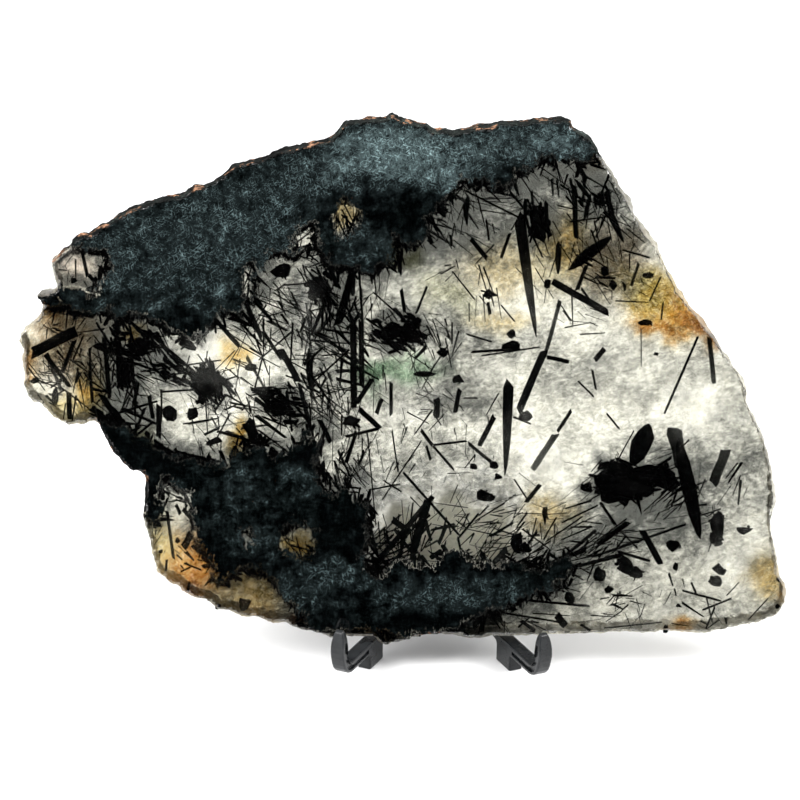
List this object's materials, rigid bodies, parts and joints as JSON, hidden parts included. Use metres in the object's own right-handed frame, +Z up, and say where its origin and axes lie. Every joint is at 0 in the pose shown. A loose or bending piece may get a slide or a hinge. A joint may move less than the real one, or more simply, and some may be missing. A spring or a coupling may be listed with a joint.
{
  "type": "tourmalinated quartz slice",
  "caption": "Polished slab of clear to milky quartz full of black tourmaline needles, with a rough natural rim, leaning on a small black plastic easel.",
  "frame": {"origin": "middle of the whole object's bounding box, at the height of the floor under the easel's feet", "axes": "+Z up, +X along the slice to the right seen from the front, -Y the way the polished front face looks"},
  "size_m": [0.2332, 0.0988, 0.158],
  "materials": {
    "quartz": "polished faces, rough natural rim, milky to clear with dark green-grey felted tourmaline and rust stains",
    "tourmaline": "glossy black needles and prisms inside the quartz",
    "easel_plastic": "satin moulded black plastic"
  },
  "bodies": {
    "root": {"quartz_slice": "quartz", "easel_left_leaf": "easel_plastic", "easel_right_leaf": "easel_plastic"}
  },
  "joints": []
}
